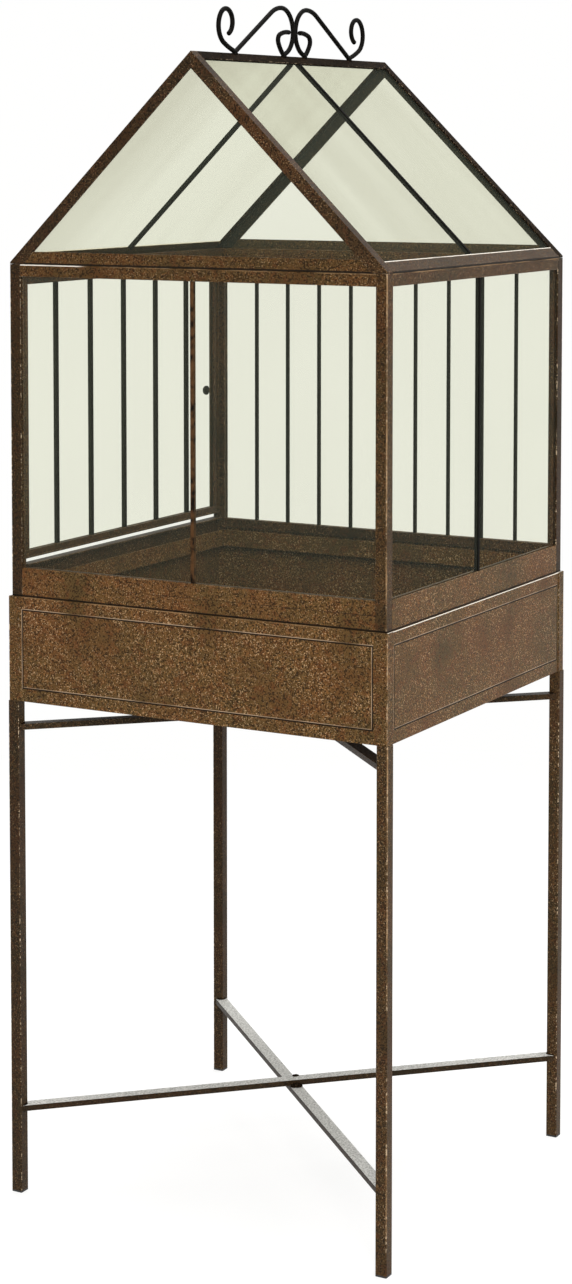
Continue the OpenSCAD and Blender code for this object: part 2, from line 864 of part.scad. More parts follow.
// One S-shaped scroll in the plane of the ridge, from its outer curl to its inner curl
module scroll() {
    outer = [-outer_foot, foot_z];
    crown = [crown_y, crown_z];
    low = outer + [0, rise_radius];
    high = crown - [0, crown_radius];
    span = high - low;
    climb = atan2(span[1], span[0]) + asin((rise_radius + crown_radius) / norm(span));
    straight = sqrt(pow(norm(span), 2) - pow(rise_radius + crown_radius, 2));
    rise_end = arc_end(outer, 0, rise_radius, climb, 1);
    curl(outer, 180, outer_radii, outer_turns, -1);
    curl(crown, 0, inner_radii, inner_turns, -1);
    rod_arc(outer, 0, rise_radius, climb, 1);
    rod_arc(crown, 180, crown_radius, climb, 1);
    rod_joint(rise_end, climb);
    rod_joint(rise_end + straight * [cos(climb), sin(climb)], climb);
    translate([0, rise_end[0], rise_end[1]])
        rotate([climb - 90, 0, 0])
            cylinder(d = rod_d, h = straight);
}

// A matching pair of scrolls, notched to stand astride the ridge
module scrolls() {
    color(black)
        difference() {
            for (s = [0, 1]) mirror([0, s, 0]) scroll();
            rotate([90, 0, 0])
                linear_extrude(2 * stand_d, center = true)
                    polygon([[-case_x, eave_z], [case_x, eave_z], [0, ridge_z]]);
        }
}

leg(-1, -1);  // leg_front_left
leg(1, -1);  // leg_front_right
leg(-1, 1);  // leg_back_left
leg(1, 1);  // leg_back_right
foot_caps();
leg_top_plugs();
cross_bar(-1, high_cross_z - cross_t);  // upper_brace_lower_bar
cross_bar(1, high_cross_z);  // upper_brace_upper_bar
cross_bar(1, low_cross_z - cross_t);  // lower_stretcher_lower_bar
cross_bar(-1, low_cross_z);  // lower_stretcher_upper_bar
tray_floor();
tray_wall(front);  // tray_front_wall
tray_wall(back);  // tray_back_wall
tray_wall(left);  // tray_left_wall
tray_wall(right);  // tray_right_wall
tray_corner_angles();
tray_screws();
post(-1, -1);  // post_front_left
post(1, -1);  // post_front_right
post(-1, 1);  // post_back_left
post(1, 1);  // post_back_right
bottom_rail(front);  // bottom_rail_front
bottom_rail(back);  // bottom_rail_back
bottom_rail(left);  // bottom_rail_left
bottom_rail(right);  // bottom_rail_right
top_rail(front);  // top_rail_front
top_rail(back);  // top_rail_back
top_rail(left);  // top_rail_left
top_rail(right);  // top_rail_right
glazing_corner_bars();
glazing_strips();
wall_panes(front, front_pane_count);  // front_panes
wall_panes(right, right_pane_count);  // right_panes
wall_panes(back, back_pane_count);  // back_panes
wall_bars(front, front_pane_count, bar_face);  // front_bars
wall_bars(right, right_pane_count, bar_face);  // right_bars
wall_bars(back, back_pane_count, back_bar_face);  // back_bars
door_sill();
door_catch();
hinge_leaves(-1, 0, 2);  // hinge_post_leaves
hinge_pins();
door_stiles();
door_rails();
door_panes();
door_bars();
door_beads();
door_knob();
hinge_leaves(1, 1, 1);  // hinge_door_leaves
gable_rails();
eave_rail(-1);  // eave_rail_left
eave_rail(1);  // eave_rail_right
rafters(-1);  // rafters_front
rafters(1);  // rafters_back
ridge_cap();
slope_panes(-1);  // slope_panes_left
slope_panes(1);  // slope_panes_right
slope_bars();
gable_panes();
scrolls();
roof_pads();
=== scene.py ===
import json
import math

import bmesh
import bpy
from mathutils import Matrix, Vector, noise as lumps


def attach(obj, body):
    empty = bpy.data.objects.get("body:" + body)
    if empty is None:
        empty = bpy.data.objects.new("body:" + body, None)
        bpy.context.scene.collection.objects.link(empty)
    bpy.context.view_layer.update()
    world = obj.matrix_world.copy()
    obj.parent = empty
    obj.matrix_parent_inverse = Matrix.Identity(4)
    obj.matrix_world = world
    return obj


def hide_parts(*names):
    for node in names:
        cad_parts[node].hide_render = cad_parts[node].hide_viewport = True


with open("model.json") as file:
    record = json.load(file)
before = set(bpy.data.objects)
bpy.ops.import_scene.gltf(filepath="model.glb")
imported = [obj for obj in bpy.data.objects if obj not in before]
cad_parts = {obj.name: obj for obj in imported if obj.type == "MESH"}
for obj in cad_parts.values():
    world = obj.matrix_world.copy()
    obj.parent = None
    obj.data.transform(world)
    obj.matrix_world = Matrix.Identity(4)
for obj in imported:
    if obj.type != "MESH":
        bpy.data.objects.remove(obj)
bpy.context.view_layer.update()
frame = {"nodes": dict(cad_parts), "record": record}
NODES = frame["nodes"]
SLOT_OF = {part["node"]: part["material_slot"] for part in frame["record"]["subparts"]}
BODY_OF = {
    name: body for body, names in frame["record"]["behaviour"]["bodies"].items() for name in names}
MM = 0.001


# Camera

# Where the camera stands, in metres, and how far it turns and looks down, in degrees
CAMERA_AT = (1.5162, -2.7398, 1.2432)
CAMERA_TURN = 29.138
CAMERA_DOWN = 4.011
# Sensor width and focal length in millimetres, and the vertical shift of the photograph's frame
CAMERA_SENSOR = 36
CAMERA_LENS = 73.43
CAMERA_SHIFT = -0.2441


def make_camera():
    data = bpy.data.cameras.new("camera")
    data.sensor_width = CAMERA_SENSOR
    data.lens = CAMERA_LENS
    data.shift_y = CAMERA_SHIFT
    camera = bpy.data.objects.new("camera", data)
    camera.location = CAMERA_AT
    camera.rotation_euler = (math.radians(90 - CAMERA_DOWN), 0, math.radians(CAMERA_TURN))
    bpy.context.scene.collection.objects.link(camera)
    bpy.context.scene.camera = camera


# Node helpers

def node(tree, kind, inputs=None, **settings):
    """A shader node with its settings, and its inputs linked or set by name or number."""
    made = tree.nodes.new(kind)
    for key, value in settings.items():
        setattr(made, key, value)
    for key, value in (inputs or {}).items():
        socket = made.inputs[key]
        if isinstance(value, bpy.types.NodeSocket):
            tree.links.new(value, socket)
        else:
            socket.default_value = value
    return made


def ramp(tree, value, stops):
    """A colour ramp with stops of (position, colour)."""
    made = node(tree, "ShaderNodeValToRGB", {"Fac": value})
    elements = made.color_ramp.elements
    while len(elements) < len(stops):
        elements.new(0.5)
    for element, (position, colour) in zip(elements, stops):
        element.position = position
        element.color = (*colour, 1)
    return made.outputs["Color"]


def noise(tree, where, scale, detail=3.0, roughness=0.5):
    return node(tree, "ShaderNodeTexNoise", {
        "Vector": where, "Scale": scale, "Detail": detail, "Roughness": roughness,
    }).outputs["Fac"]


def math_of(tree, operation, a, b=0.0, clamp=False):
    return node(
        tree, "ShaderNodeMath", {0: a, 1: b}, operation=operation, use_clamp=clamp).outputs[0]


def times(tree, a, b):
    return math_of(tree, "MULTIPLY", a, b)


def plus(tree, a, b, clamp=False):
    return math_of(tree, "ADD", a, b, clamp)


def step(tree, value, low, high, top=1.0):
    """0 below low, rising smoothly to top at high."""
    return node(tree, "ShaderNodeMapRange", {
        "Value": value, "From Min": low, "From Max": high, "To Max": top,
    }, interpolation_type="SMOOTHSTEP").outputs["Result"]


def mix(tree, factor, a, b):
    """Colour a turning into colour b by the factor. Both are sockets or plain colours."""
    first, second = (
        colour if isinstance(colour, bpy.types.NodeSocket) else (*colour, 1) for colour in (a, b))
    return node(
        tree, "ShaderNodeMix", {0: factor, 6: first, 7: second}, data_type="RGBA").outputs[2]


def new_material(name):
    material = bpy.data.materials.new(name)
    material.use_nodes = True
    tree = material.node_tree
    shader = tree.nodes["Principled BSDF"]
    where = node(tree, "ShaderNodeTexCoord").outputs["Object"]
    return material, tree, shader, where


# Materials

# What shows on the paint: its flecks and chips, the tan and pale of rubbed edges and painted
# highlights, the near-black of painted shade, and the ramp of bare iron with its painted sheen
FLECK = (0.42, 0.27, 0.14)
CHIP = (0.56, 0.43, 0.29)
TAN = (0.27, 0.165, 0.080)
PALE = (0.80, 0.76, 0.68)
SHADE_BLACK = (0.007, 0.005, 0.003)
IRON_AND_SHEEN = [(0.36, (0.30, 0.30, 0.28)), (0.5, (0.58, 0.58, 0.55)), (0.62, (0.72, 0.72, 0.69))]
# How bright a pit is, next to the paint round it
PIT_TONE = 0.22
# How much of the paint the painted shade hides
SHADE_COVER = 0.9

# Brown paints: their deep, main and warm clouds, their red blotches and their orange grains
BROWN = ((0.072, 0.044, 0.014), (0.094, 0.050, 0.015), (0.108, 0.045, 0.013),
         (0.104, 0.034, 0.010), (0.250, 0.118, 0.036))
DARK_BROWN = ((0.030, 0.018, 0.008), (0.048, 0.026, 0.010), (0.056, 0.025, 0.009),
              (0.060, 0.022, 0.009), (0.110, 0.052, 0.020))
SOOTY_BROWN = ((0.006, 0.004, 0.003), (0.009, 0.006, 0.003), (0.012, 0.006, 0.003),
               (0.014, 0.006, 0.003), (0.028, 0.015, 0.007))


def shares_of(tree, attribute):
    """The three shares, from 0 to 1, that a colour attribute of the mesh carries."""
    colour = node(tree, "ShaderNodeAttribute", attribute_name=attribute).outputs["Color"]
    return node(tree, "ShaderNodeSeparateColor", {0: colour}).outputs[:3]


def rust_paint(name, tones, gloss=0.42, flecks=1.0, shine=0.10):
    """Hammered brown paint: cloudy colour, red and orange grains, dark pits and tan flecks.
    Marked faces carry rubbed wear and painted highlights, chips, painted shade, bare iron with a
    painted sheen, or a darkening all over that is partly painted shade."""
    material, tree, shader, where = new_material(name)
    deep, main, warm, red, orange = tones

    # Patterns from the widest to the finest, and what the mesh says of the face
    cloud = noise(tree, where, 8, 4, 0.6)
    patch = noise(tree, where, 17, 2, 0.5)
    blotch = noise(tree, where, 110, 2, 0.6)
    chip = noise(tree, where, 300, 2, 0.65)
    grain = noise(tree, where, 440, 2, 0.6)
    pits = noise(tree, where, 540, 1, 0.5)
    speck = noise(tree, where, 660, 1, 0.5)
    rubbed_and_highlight, painted_shade, bare_and_sheen = shares_of(tree, "marks")
    shade, chipped, _ = shares_of(tree, "coat")

    # The paint. Its grains and flecks crowd together in patches.
    colour = ramp(tree, cloud, [(0.38, deep), (0.5, main), (0.62, warm)])
    colour = mix(tree, step(tree, blotch, 0.50, 0.62, 0.55), colour, red)
    crowded = step(tree, patch, 0.22, 0.60)
    grains = times(tree, step(tree, grain, 0.53, 0.63, 0.65), crowded)
    colour = mix(tree, grains, colour, orange)
    pit = tuple(c * PIT_TONE for c in main)
    colour = mix(tree, step(tree, pits, 0.52, 0.60, 0.92), colour, pit)
    spots = times(tree, step(tree, speck, 0.625, 0.68, flecks), crowded)
    colour = mix(tree, spots, colour, FLECK)
    # Each piece's darkening toward near-black, partly painted shade
    colour = mix(tree, shade, colour, SHADE_BLACK)

    # Wear, painted highlights and painted shade. A rubbed or highlighted strip breaks up where its
    # share is less than whole.
    chips = times(tree, step(tree, chip, 0.53, 0.62), chipped)
    colour = mix(tree, times(tree, chips, step(tree, patch, 0.34, 0.56)), colour, CHIP)
    even = plus(tree, rubbed_and_highlight, times(tree, math_of(tree, "SUBTRACT", patch, 0.5), 2.0))
    line = times(tree, step(tree, even, 0.1, 0.9), step(tree, rubbed_and_highlight, 0.02, 0.3))
    # Tan and pale lines: rubbed wear, and painted highlights along the seams, grooves and top edges
    colour = mix(tree, line, colour, mix(tree, step(tree, rubbed_and_highlight, 0.6, 0.95), TAN, PALE))
    # Painted shade: near-black in the seams, the grooves, the fold line, the cross bars' sides and
    # the front rafters
    colour = mix(tree, times(tree, painted_shade, SHADE_COVER), colour, SHADE_BLACK)
    # Bare iron on the cross bars' tops, its light greys partly a painted sheen of the bright
    # surroundings
    colour = mix(tree, bare_and_sheen, colour, ramp(tree, grain, IRON_AND_SHEEN))

    rough = node(tree, "ShaderNodeMapRange", {
        "Value": grain, "From Min": 0.3, "From Max": 0.7,
        "To Min": gloss - 0.08, "To Max": gloss + 0.14,
    }).outputs["Result"]
    height = math_of(tree, "SUBTRACT", times(tree, grain, 0.6), times(tree, pits, 0.5))
    bump = node(
        tree, "ShaderNodeBump", {"Strength": 0.35, "Distance": 0.4 * MM, "Height": height})
    tree.links.new(colour, shader.inputs["Base Color"])
    tree.links.new(rough, shader.inputs["Roughness"])
    tree.links.new(bump.outputs["Normal"], shader.inputs["Normal"])
    shader.inputs["Specular IOR Level"].default_value = shine
    return material


def plain_paint(name, dark, light, rough=0.4, scale=120, shine=0.5, rust=None):
    """Satin paint or plastic with a faint variation of tone and surface, brown where marked."""
    material, tree, shader, where = new_material(name)
    grain = noise(tree, where, scale, 3)
    colour = ramp(tree, grain, [(0.35, dark), (0.65, light)])
    if rust:
        rubbed_and_highlight = shares_of(tree, "marks")[0]
        colour = mix(tree, times(tree, rubbed_and_highlight, step(tree, grain, 0.3, 0.6)), colour, rust)
    tree.links.new(colour, shader.inputs["Base Color"])
    bump = node(tree, "ShaderNodeBump", {"Strength": 0.25, "Distance": 0.2 * MM, "Height": grain})
    tree.links.new(bump.outputs["Normal"], shader.inputs["Normal"])
    shader.inputs["Roughness"].default_value = rough
    shader.inputs["Specular IOR Level"].default_value = shine
    return material


def metal(name, dark, light, rough):
    material = plain_paint(name, dark, light, rough, 300)
    material.node_tree.nodes["Principled BSDF"].inputs["Metallic"].default_value = 1
    return material


# The dust on the glass: the share of a face that it covers, and its colour
FILM_COVER = 0.024
FILM = (0.40, 0.44, 0.36)
# How much painted reflection of the sky clouds the roof's left slope towards its front, and the
# right slope all over, and how much its streaks add to that or take from it
LEFT_REFLECTION = 0.75
RIGHT_REFLECTION = 0.42
STREAK_REFLECTION = 1.3
STREAK_SCALE = (2.5, 11, 2.5)


def painted_roof_reflection(tree, where):
    """How much painted reflection of the sky clouds the roof's panes, from 0 to 1."""
    parts = node(tree, "ShaderNodeSeparateXYZ", {0: where}).outputs
    right = math_of(tree, "GREATER_THAN", parts["X"])
    left = math_of(tree, "LESS_THAN", parts["X"])
    forward = times(tree, parts["Y"], -1.0)
    drawn_out = node(tree, "ShaderNodeMapping", {0: where, 3: STREAK_SCALE}).outputs[0]
    reflection_streaks = times(tree, math_of(tree, "SUBTRACT", noise(tree, drawn_out, 1, 2), 0.5), STREAK_REFLECTION)
    to_front = times(tree, step(tree, forward, 0.02, 0.22, LEFT_REFLECTION), left)
    return plus(tree, plus(tree, to_front, times(tree, right, RIGHT_REFLECTION)), reflection_streaks, clamp=True)


def face_tint(through):
    """The tint of each of a pane's two faces, for what the pane as a whole lets through."""
    return tuple(math.sqrt(c) / (1 - FILM_COVER) for c in through)


def window_glass(name, clear, cloudy, roof=False):
    """Cream-tinted sheet under a thin film of dust. clear and cloudy are what a pane lets
    through. On the roof, the clouding is painted reflection of the sky."""
    material, tree, film, where = new_material(name)
    if roof:
        share = painted_roof_reflection(tree, where)
    else:
        share = step(tree, noise(tree, where, 5, 2), 0.40, 0.75, 0.35)
    tint = mix(tree, share, face_tint(clear), face_tint(cloudy))
    film.inputs["Base Color"].default_value = (*FILM, 1)
    film.inputs["Roughness"].default_value = 0.3
    film.inputs["Specular IOR Level"].default_value = 0.1
    sheet = node(tree, "ShaderNodeBsdfTransparent", {"Color": tint}).outputs[0]
    glass = node(tree, "ShaderNodeMixShader", {0: FILM_COVER, 1: sheet, 2: film.outputs[0]})
    tree.links.new(glass.outputs[0], tree.nodes["Material Output"].inputs["Surface"])
    return material


def felt_cloth(name):
    material, tree, shader, where = new_material(name)
    fibre = noise(tree, where, 900, 4, 0.7)
    colour = ramp(tree, fibre, [(0.3, (0.020, 0.018, 0.016)), (0.7, (0.060, 0.054, 0.048))])
    tree.links.new(colour, shader.inputs["Base Color"])
    shader.inputs["Roughness"].default_value = 0.95
    return material


def make_materials():
    """The materials by name: each slot's own, and its variants with the endings in FINISH."""
    return {
        "rust_paint": rust_paint("rust_paint", BROWN),
        "dark_rust_paint": rust_paint("dark_rust_paint", DARK_BROWN, flecks=0.6),
        "dark_rust_paint_sooty": rust_paint(
            "dark_rust_paint_sooty", SOOTY_BROWN, gloss=0.6, flecks=0.2, shine=0.02),
        "black_paint": plain_paint(
            "black_paint", (0.002, 0.0018, 0.0014), (0.005, 0.004, 0.003), 0.6, shine=0.05,
            rust=(0.085, 0.040, 0.016)),
        "glass": window_glass("glass", (0.875, 0.88, 0.815), (0.845, 0.85, 0.785)),
        "glass_roof": window_glass(
            "glass_roof", (0.83, 0.835, 0.745), (0.65, 0.64, 0.55), roof=True),
        "steel": metal("steel", (0.35, 0.33, 0.31), (0.55, 0.53, 0.50), 0.35),
        "black_plastic": plain_paint(
            "black_plastic", (0.010, 0.010, 0.010), (0.020, 0.020, 0.020), 0.5, 500),
        "felt": felt_cloth("felt"),
    }


# Pieces

def new_object(name, mesh):
    made = bpy.data.objects.new(name, mesh)
    bpy.context.scene.collection.objects.link(made)
    return made


def finish_piece(piece, body, material):
    piece.data.materials.clear()
    piece.data.materials.append(material)
    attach(piece, body)


def new_piece(name, mesh_edit, body, material):
    """A new mesh piece: mesh_edit fills the empty bmesh that it is given."""
    mesh = bpy.data.meshes.new(name)
    build = bmesh.new()
    mesh_edit(build)
    bmesh.ops.recalc_face_normals(build, faces=build.faces)
    build.to_mesh(mesh)
    build.free()
    finish_piece(new_object(name, mesh), body, material)


# Strips of wear and of painted light and shade. Planes cut a piece's faces into strips, and a rule
# says what each one shows. It gives the cuts, as axes and distances, and a function of a face's
# middle and normal and of one of its corners, which returns the rubbed-and-highlight,
# painted-shade, bare-and-sheen and chipped shares there, from 0 to 1.

# The solids' own places: outer faces of the legs, case and tray from the middle, and heights
LEG_X, LEG_Y = 250 * MM, 242 * MM
CASE_X, CASE_Y = 246 * MM, 238 * MM
TRAY_X, TRAY_Y = 249 * MM, 241 * MM
TRAY_BASE = 592 * MM
TRAY_TOP = 716 * MM
SEAM_TOP = TRAY_TOP + 2 * MM
FOLD = 733 * MM
RAIL_TOP = 1105 * MM
ROOF_BASE = 1106 * MM
# The groove pressed round a tray wall, from the wall's long edges and from its ends
GROOVE_EDGE = 15 * MM
GROOVE_END = 18 * MM
GROOVE_W = 1.5 * MM
# A face further in than these is in the groove, or behind the wall's sheet
IN_GROOVE = 1.05 * MM
IN_TRAY = 2 * MM
# A roof face within this of the case's faces is outside
OUTSIDE = 4 * MM

# Widths of the strips: along an edge, and hairlines
STRIP = 1.2 * MM
HAIR = 0.9 * MM
# A face looks along an axis if its normal's part there is more than this
FACING = 0.7

# Chipped shares of every eased edge, and of the faces beside an upright's outer corner
EDGE_CHIPS = 0.35
CORNER_CHIPS = 0.9
# Painted-highlight shares of the tray walls' top edges, partly rubbed wear and brighter on the lit
# right wall, and of the hairlines beside their grooves
TRAY_TOP_HIGHLIGHTS = {"tray_right_wall": 0.9, "tray_front_wall": 0.45}
OTHER_TRAY_TOP_HIGHLIGHT = 0.5
GROOVE_HIGHLIGHT = 0.68
# Painted-highlight shares of the top rails, more at the left end of the front one, and where it
# changes
RAIL_WHITE, RAIL_TAN = 0.9, 0.35
WHITE_END, TAN_START = -0.62 * CASE_X, -0.5 * CASE_X
# Painted-highlight share of an eave's edge along its glass, bare-iron-and-painted-sheen share of
# the low cross bars' tops and painted-shade share of their sides, and painted-shade share of the
# fold line at the middle of the front bottom rail
EAVE_GLASS_HIGHLIGHT = 0.85
BARE_AND_SHEEN_TOP, SHADED_SIDES = 0.9, 0.75
FOLD_SHADE = 0.45
# Painted-shade shares of the front rafters: the left one, and the right one's upper sides. The left
# one lies beyond this from the ridge, and an upper side's normal rises more than this.
LEFT_RAFTER, RIGHT_RAFTER = 0.4, 0.35
LEFT_OF_RIDGE = -5 * MM
UPPER_SIDE = 0.4

CLEAN = (0, 0, 0, 0)
PAINTED_SHADOW = (0, 1, 0, 0)
X, Y, Z = (1, 0, 0), (0, 1, 0), (0, 0, 1)


def upright_rule(out_x, out_y, seam=0.0, worn=0.0):
    """An upright chipped beside its outer corner, and darkened below the height seam with painted
    shade.
    The last argument is how much the corner that stands at the front right is rubbed, partly as a
    painted highlight."""
    in_x, in_y = out_x - STRIP, out_y - STRIP
    cuts = [(X, -in_x), (X, in_x), (Y, -in_y), (Y, in_y)] + ([(Z, seam)] if seam else [])

    def shown(middle, normal, at):
        if middle.z < seam:
            return PAINTED_SHADOW
        beside_x = abs(normal.y) > FACING and abs(middle.x) > in_x
        beside_y = abs(normal.x) > FACING and abs(middle.y) > in_y
        corner = middle.x > in_x and middle.y < -in_y
        return (worn if corner else 0, 0, 0, CORNER_CHIPS if beside_x or beside_y else 0)
    return cuts, shown


def tray_rule(name):
    """A tray wall: a painted highlight along its top edge, partly rubbed wear, painted shadow in
    its groove, and a painted highlight line beside the groove.
    """
    long = "front" in name or "back" in name
    along, out, half, face = (0, 1, TRAY_X, TRAY_Y) if long else (1, 0, TRAY_Y, TRAY_X)
    left = 1 if "back" in name or "left" in name else -1
    outer = half - GROOVE_END
    inner = outer - GROOVE_W
    low, high = TRAY_BASE + GROOVE_EDGE, TRAY_TOP - GROOVE_EDGE
    low_in, high_in = low + GROOVE_W, high - GROOVE_W
    cuts = [(X if long else Y, distance) for distance in (
        outer, -outer, inner, -inner, left * (outer + HAIR), -left * (inner - HAIR))]
    cuts += [(Z, height) for height in (
        low, low_in, low_in + HAIR, high, high_in, high + HAIR, TRAY_TOP - HAIR)]

    def shown(middle, normal, at):
        depth = face - abs(middle[out])
        u, z = middle[along] * left, middle.z
        if depth > IN_TRAY:
            return CLEAN
        if z > TRAY_TOP - HAIR:
            return (TRAY_TOP_HIGHLIGHTS.get(name, OTHER_TRAY_TOP_HIGHLIGHT), 0, 0, 0)
        if depth > IN_GROOVE:
            return PAINTED_SHADOW
        above = (high < z < high + HAIR or low_in < z < low_in + HAIR) and abs(u) < outer
        beside = (outer < u < outer + HAIR or -inner < u < -inner + HAIR) and low < z < high
        return (GROOVE_HIGHLIGHT, 0, 0, 0) if above or beside else CLEAN
    return cuts, shown


def bottom_rail_rule(name):
    """Painted shade along the seam at the tray. The front one also has a line of painted shade
    along its fold, darker to the right.
    """
    def shown(middle, normal, at):
        if middle.z < SEAM_TOP:
            return PAINTED_SHADOW
        if "front" in name and FOLD < middle.z < FOLD + HAIR and normal.y < -FACING:
            return (0, FOLD_SHADE + FOLD_SHADE * at.x / CASE_X, 0, 0)
        return CLEAN
    return [(Z, SEAM_TOP), (Z, FOLD), (Z, FOLD + HAIR)], shown


def top_rail_rule(name):
    """A painted highlight along the seam under the roof: white at the front's left end, and tan
    elsewhere.
    """
    def shown(middle, normal, at):
        if middle.z < RAIL_TOP - STRIP:
            return CLEAN
        return (RAIL_WHITE if "front" in name and at.x < WHITE_END else RAIL_TAN, 0, 0, 0)
    return [(Z, RAIL_TOP - STRIP), (X, WHITE_END), (X, TAN_START)], shown


def roof_foot_rule(name):
    """Painted shade along the seam at the foot of the roof, and a painted highlight along an eave's
    glass edge.
    """
    seam = ROOF_BASE + STRIP
    edge = max(v.co.z for v in NODES[name].data.vertices) - HAIR

    def shown(middle, normal, at):
        if middle.z > edge and "eave" in name:
            return (EAVE_GLASS_HIGHLIGHT, 0, 0, 0)
        outside = abs(middle.x) > CASE_X - OUTSIDE or abs(middle.y) > CASE_Y - OUTSIDE
        return PAINTED_SHADOW if middle.z < seam and outside else CLEAN
    return [(Z, seam), (Z, edge)], shown


def bare_sheen_top_rule(name):
    """A cross bar: worn to bare iron on top, its greys lightened by a painted sheen, and painted
    shade on its sides.
    """
    def shown(middle, normal, at):
        if normal.z > FACING:
            return (0, 0, BARE_AND_SHEEN_TOP, 0)
        return (0, SHADED_SIDES, 0, 0) if abs(normal.z) < FACING else CLEAN
    return [], shown


def front_rafters_rule(name):
    """Painted shade on the left one of the front rafters, and on the right one's upper sides."""
    def shown(middle, normal, at):
        if middle.x < LEFT_OF_RIDGE:
            return (0, LEFT_RAFTER, 0, 0)
        return (0, RIGHT_RAFTER, 0, 0) if normal.z > UPPER_SIDE else CLEAN
    return [], shown


def rubbed_rule(name):
    return [], lambda middle, normal, at: (1, 0, 0, 0)


def clean_rule(name):
    return [], lambda middle, normal, at: CLEAN


RULES = {
    "leg_": lambda name: upright_rule(LEG_X, LEG_Y, worn=0.34),
    "post_": lambda name: upright_rule(CASE_X, CASE_Y, SEAM_TOP, worn=0.46),
    "tray_corner_angles": lambda name: upright_rule(TRAY_X, TRAY_Y, worn=0.42),
    "tray_front_wall": tray_rule, "tray_back_wall": tray_rule,
    "tray_left_wall": tray_rule, "tray_right_wall": tray_rule,
    "bottom_rail_": bottom_rail_rule, "top_rail_": top_rail_rule,
    "gable_rails": roof_foot_rule, "eave_rail_": roof_foot_rule,
    "rafters_front": front_rafters_rule,
    "lower_stretcher": bare_sheen_top_rule, "front_bars": rubbed_rule,
}

# How much darker than the tray's walls each piece is. This darkening is partly painted shade, on
# the thin uprights, on the bars and brace under the tray, and on the parts inside the case and
# under the roof's edges
SHADE = {
    "leg_front_right": 0.50, "leg_back_right": 0.54, "leg_": 0.70,
    "post_front_right": 0.50, "post_": 0.74,
    "tray_corner_angles": 0.06, "tray_floor": 0.5,
    "upper_brace": 0.7, "lower_stretcher": 0.4,
    "top_rail_right": 0.48, "top_rail_": 0.30,
    "door_stiles": 0.5, "door_rails": 0.5,
    "gable_rails": 0.30, "eave_rail_": 0.62, "ridge_cap": 0.4,
}


def by_prefix(table, name, default=None):
    """The value of the first key in the table that the name starts with."""
    return next((value for start, value in table.items() if name.startswith(start)), default)


# Eased copies of the solids

# The roof sinks its pads under its weight, and its glazing bars reach in under the ridge
ON_PADS = ("gable_rails", "eave_rail_", "rafters_")
PAD_SQUASH = 0.65 * MM
BAR_REACH = 3 * MM
# The part of a glazing bar, from its top, that moves with its end
BAR_END = 12 * MM
SLOPE = math.radians(44.3)

# An edge that turns more than SHARP is eased, and one that turns less than FLAT is taken out
SHARP = math.radians(28)
FLAT = math.radians(0.6)
# Points closer than this are one, planes cut this exactly, and heights this close are the same
SAME_POINT = 0.002 * MM
CUT_CLOSE = 0.001 * MM
SAME_HEIGHT = 0.05 * MM


def reshape(name, build):
    if name.startswith(ON_PADS):
        for v in build.verts:
            if abs(v.co.z - ROOF_BASE) < SAME_HEIGHT:
                v.co.z -= PAD_SQUASH
    if name == "slope_bars":
        top = max(v.co.z for v in build.verts)
        for v in build.verts:
            if v.co.z > top - BAR_END:
                v.co.x -= math.copysign(BAR_REACH * math.cos(SLOPE), v.co.x)
                v.co.z += BAR_REACH * math.sin(SLOPE)


def ease_edges(build, radius):
    """Rounds the sharp edges, and notes which faces came of that."""
    on_edge = build.faces.layers.int.new("on_edge")
    sharp = [e for e in build.edges if len(e.link_faces) == 2 and e.calc_face_angle(0) > SHARP]
    eased = bmesh.ops.bevel(
        build, geom=sharp, offset=radius, offset_type="OFFSET", segments=2, profile=0.5,
        affect="EDGES", clamp_overlap=True)["faces"]
    for face in eased:
        face[on_edge] = 1


def mark_faces(name, build):
    """Cuts the strips of wear and painted light, and has each face carry what the paint shows
    there.
    """
    marks = build.loops.layers.float_color.new("marks")
    coat = build.loops.layers.float_color.new("coat")
    on_edge = build.faces.layers.int["on_edge"]
    cuts, shown = by_prefix(RULES, name, clean_rule)(name)
    for axis, distance in cuts:
        everything = build.verts[:] + build.edges[:] + build.faces[:]
        bmesh.ops.bisect_plane(
            build, geom=everything, dist=CUT_CLOSE, plane_co=Vector(axis) * distance, plane_no=axis)
    dark = by_prefix(SHADE, name, 0.0)
    for face in build.faces:
        middle = face.calc_center_median()
        for loop in face.loops:
            rubbed_and_highlight, painted_shade, bare_and_sheen, chipped = shown(middle, face.normal, loop.vert.co)
            if face[on_edge]:
                chipped = max(chipped, EDGE_CHIPS)
            loop[marks] = (rubbed_and_highlight, painted_shade, bare_and_sheen, 1)
            loop[coat] = (dark, chipped, 0, 1)
        face.smooth = True


def eased_copy(name, material, radius):
    """A copy of a CAD node with its sharp edges eased and its strips of wear and painted light cut,
    which then stands for the node."""
    mesh = NODES[name].data.copy()
    mesh.name = name + "_eased"
    build = bmesh.new()
    build.from_mesh(mesh)
    bmesh.ops.remove_doubles(build, verts=build.verts, dist=SAME_POINT)
    bmesh.ops.dissolve_limit(build, angle_limit=FLAT, verts=build.verts, edges=build.edges)
    reshape(name, build)
    ease_edges(build, radius)
    mark_faces(name, build)
    bmesh.ops.triangulate(build, faces=[f for f in build.faces if len(f.verts) > 4])
    build.normal_update()

    # Normals that lean to the larger faces, so that flat faces stay flat beside eased edges
    normals = [
        sum((f.normal * f.calc_area() for f in v.link_faces), Vector()).normalized()
        for v in build.verts]
    build.to_mesh(mesh)
    build.free()
    for edge in mesh.edges:
        edge.use_edge_sharp = False
    mesh.normals_split_custom_set_from_vertices(normals)
    piece = new_object(name + "_eased", mesh)
    finish_piece(piece, BODY_OF[name], material)
    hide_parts(name)


